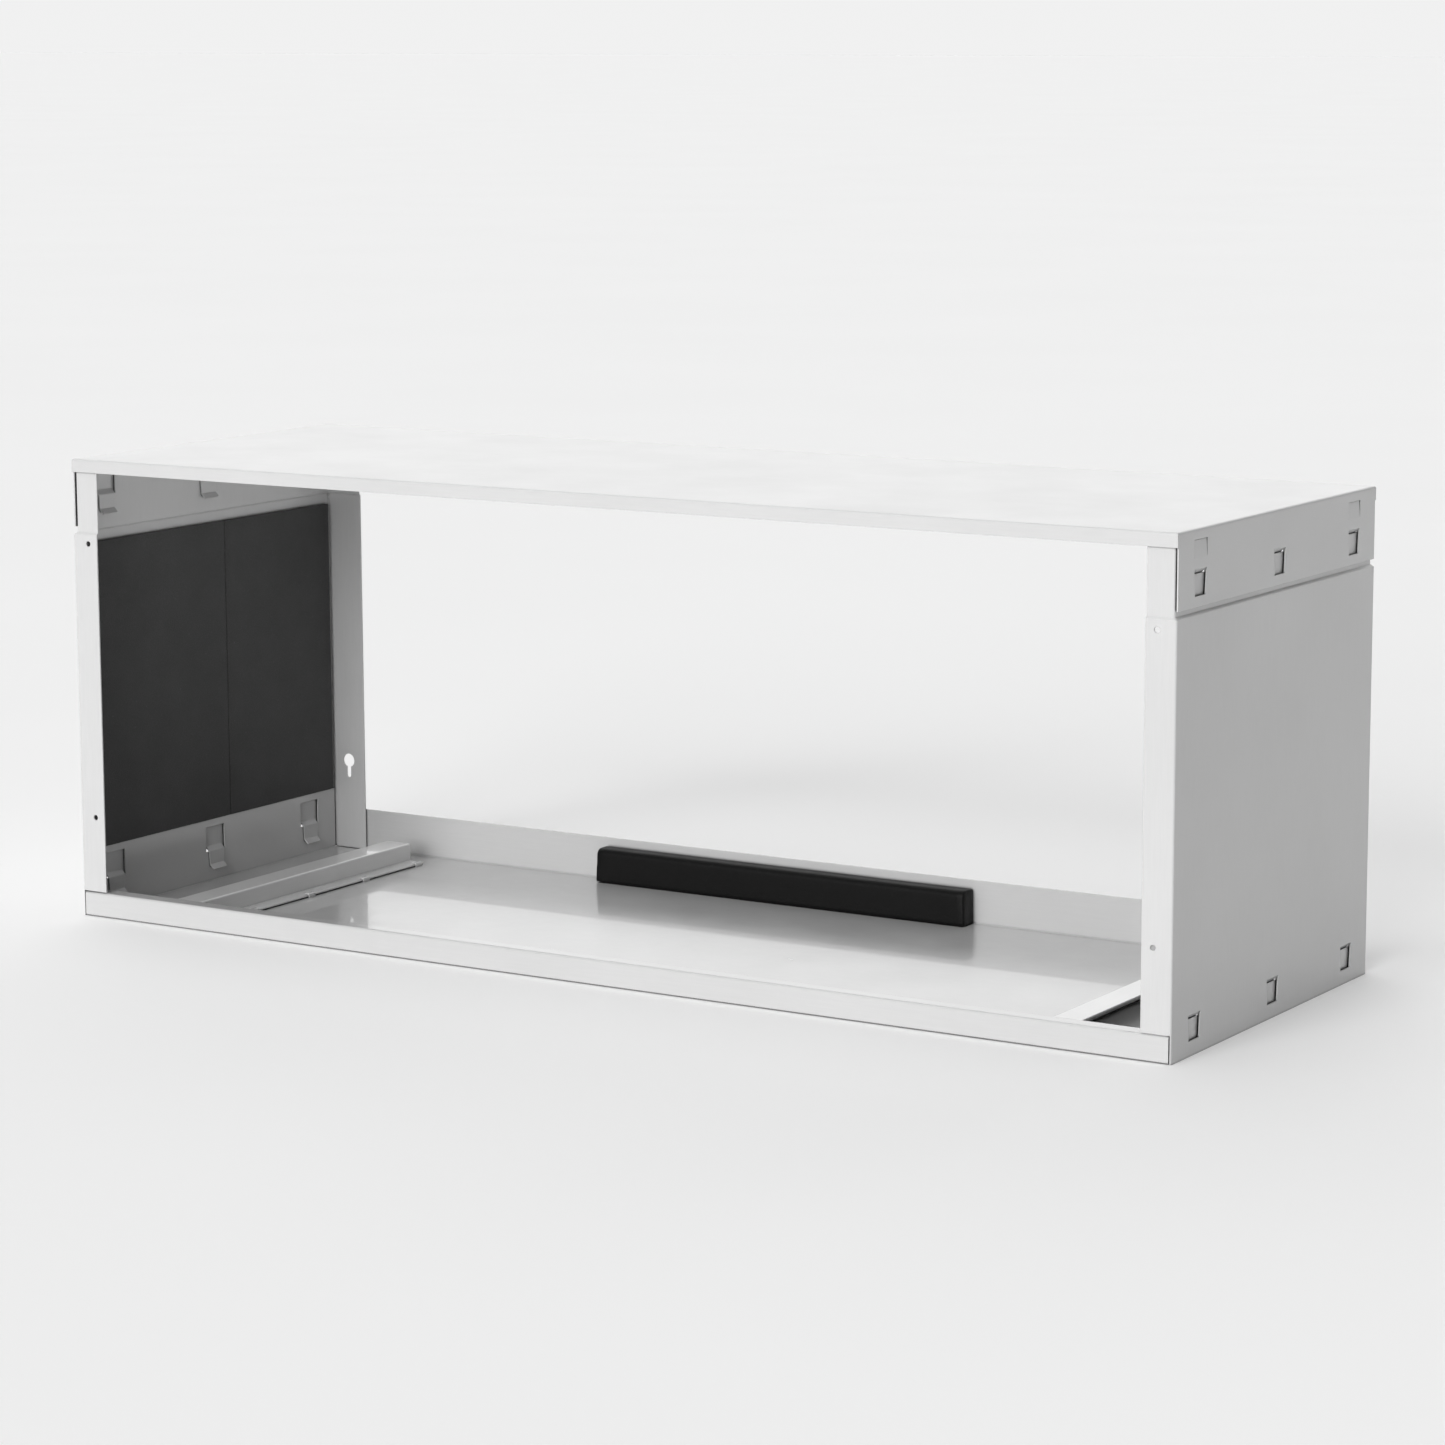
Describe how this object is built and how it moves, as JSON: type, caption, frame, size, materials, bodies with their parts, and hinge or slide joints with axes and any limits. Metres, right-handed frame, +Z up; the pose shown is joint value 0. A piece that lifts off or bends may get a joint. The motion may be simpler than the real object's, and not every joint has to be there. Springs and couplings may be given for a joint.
{
  "type": "wall sleeve for a through-the-wall air conditioner",
  "caption": "Open-ended sheet-steel wall sleeve that knocks down into a base pan, two side panels and a top on lanced hooks, with chassis rails, side foam pads and a foam bar inside.",
  "frame": {"origin": "middle of the footprint at the underside of the base pan", "axes": "+X to the right along the sleeve's width, seen from the room; +Y from the room side towards the outdoors; +Z up"},
  "size_m": [1.0668, 0.37, 0.4064],
  "materials": {
    "panel_steel": "satin",
    "pan_steel": "gloss",
    "rail_steel": "satin",
    "pad_foam": "matte",
    "bar_foam": "matte"
  },
  "bodies": {
    "pan": {"base_pan": "pan_steel", "left_rail": "rail_steel", "right_rail": "rail_steel", "rear_foam_bar": "bar_foam"},
    "left_side": {"left_side_panel": "panel_steel", "left_front_foam_pad": "pad_foam", "left_rear_foam_pad": "pad_foam"},
    "right_side": {"right_side_panel": "panel_steel", "right_front_foam_pad": "pad_foam", "right_rear_foam_pad": "pad_foam"},
    "top": {"top_panel": "panel_steel"}
  },
  "joints": [
    {"name": "side_lift", "type": "slide", "parent": "pan", "child": "left_side", "axis": [0, 0, 1], "range_m": [0, 0.0175]},
    {"name": "right_side_lift", "type": "slide", "parent": "pan", "child": "right_side", "axis": [0, 0, 1], "range_m": [0, 0.0175]},
    {"name": "top_lift", "type": "slide", "parent": "left_side", "child": "top", "axis": [0, 0, 1], "range_m": [0, 0.0175]}
  ],
  "couplings": [
    {"joint": "right_side_lift", "follows": "side_lift", "ratio": 1}
  ]
}
